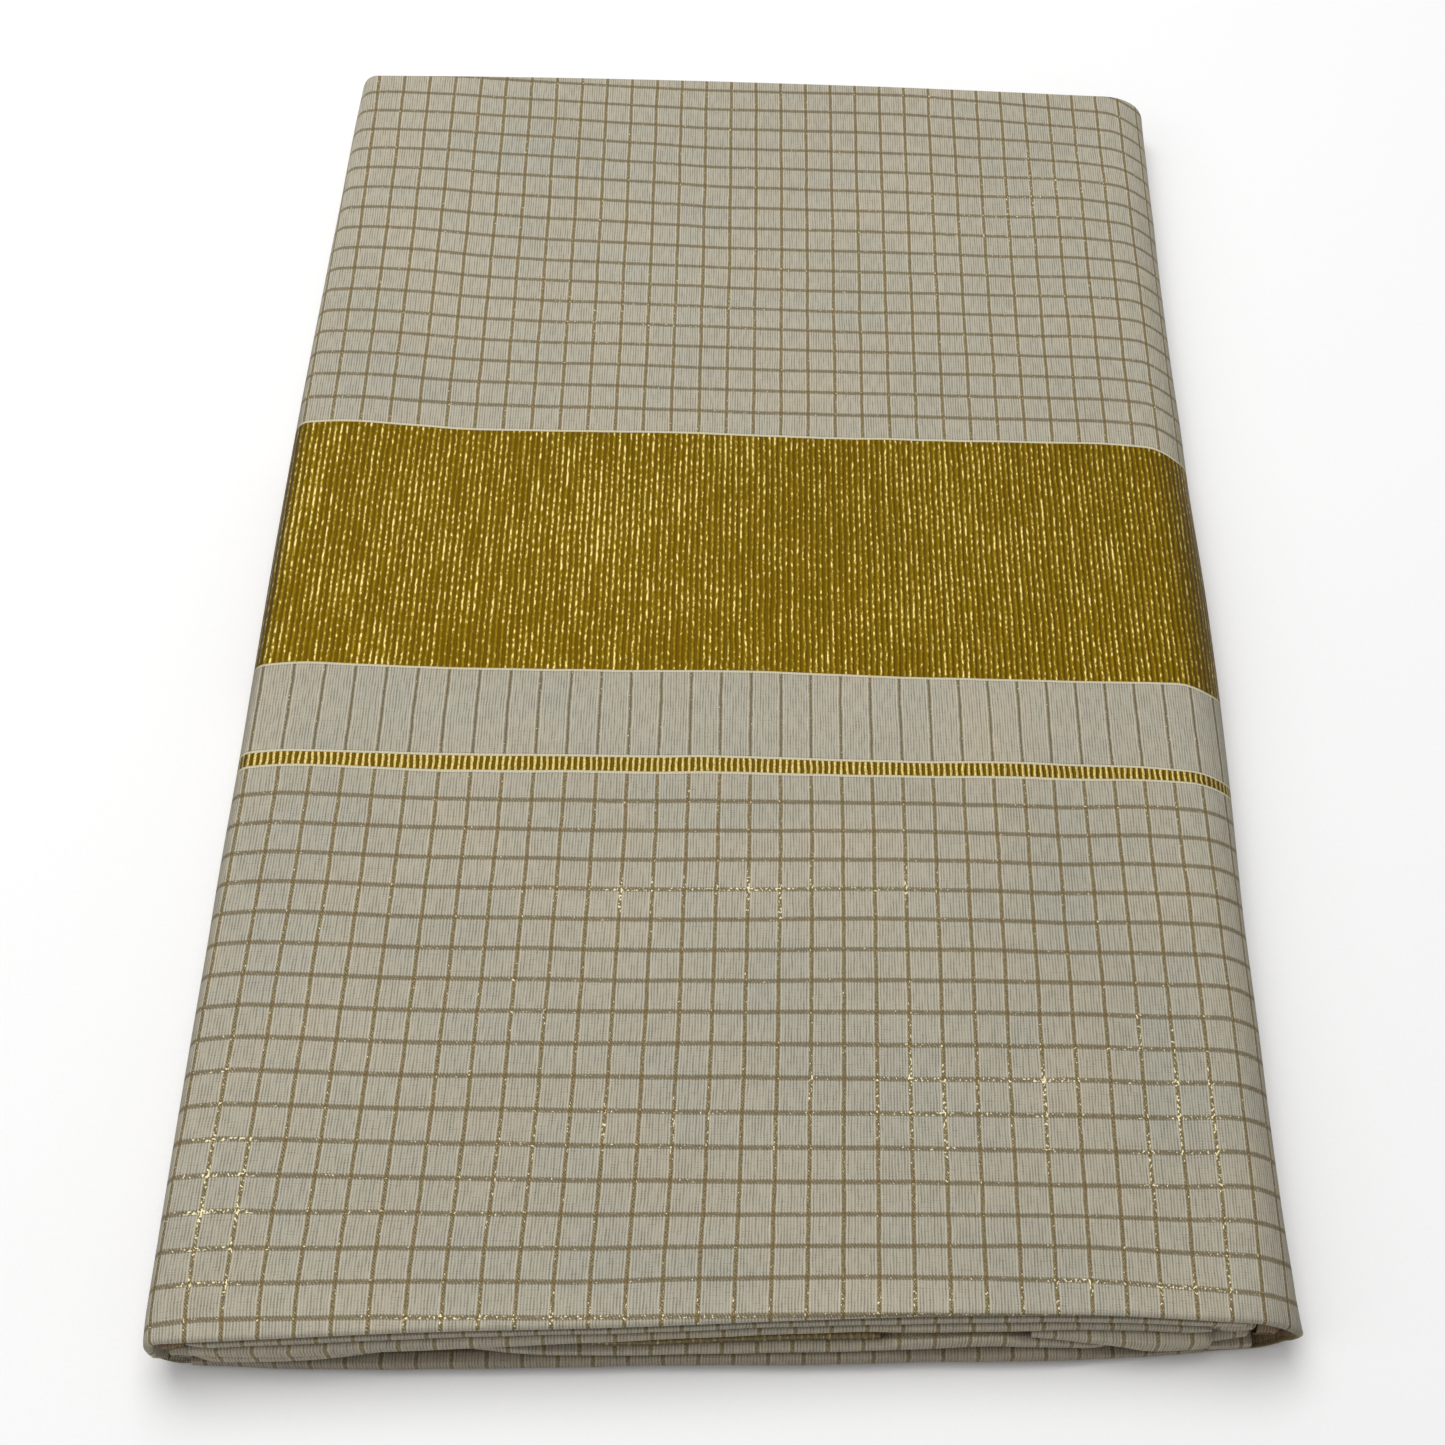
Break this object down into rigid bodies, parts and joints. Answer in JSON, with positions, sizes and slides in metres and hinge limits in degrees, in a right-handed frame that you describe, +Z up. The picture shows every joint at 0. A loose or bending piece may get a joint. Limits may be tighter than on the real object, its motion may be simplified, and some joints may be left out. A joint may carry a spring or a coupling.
{
  "type": "folded saree",
  "caption": "Off-white cotton saree with a fine gold check and a wide gold band, folded into a flat pack that lies on a surface",
  "frame": {"origin": "middle of the pack, on the surface that it lies on", "axes": "+X across the pack along the weft, +Y from the near end to the far end along the warp, +Z up out of the top face"},
  "size_m": [0.3092, 0.4966, 0.0236],
  "materials": {
    "check_cotton": "off-white handloom cotton with a fine gold check, a wide gold band and a narrow gold stripe",
    "inner_cotton": "the same check cotton on the folded layers inside",
    "gold_kasavu": "woven gold thread with a soft metallic glint"
  },
  "bodies": {
    "root": {"top_stretch": "check_cotton", "underside_stretch": "check_cotton", "hidden_layers": "inner_cotton", "near_fold_upper": "inner_cotton", "near_fold_middle": "inner_cotton", "near_fold_lower": "inner_cotton", "near_kasavu_layer": "gold_kasavu", "near_fold_right": "inner_cotton", "near_fold_bottom": "inner_cotton", "near_curl_left": "inner_cotton", "near_curl_right_upper": "inner_cotton", "near_curl_right_lower": "inner_cotton", "far_fold_upper": "inner_cotton", "far_fold_middle": "inner_cotton", "far_fold_lower": "inner_cotton", "far_fold_bottom": "inner_cotton"}
  },
  "joints": []
}
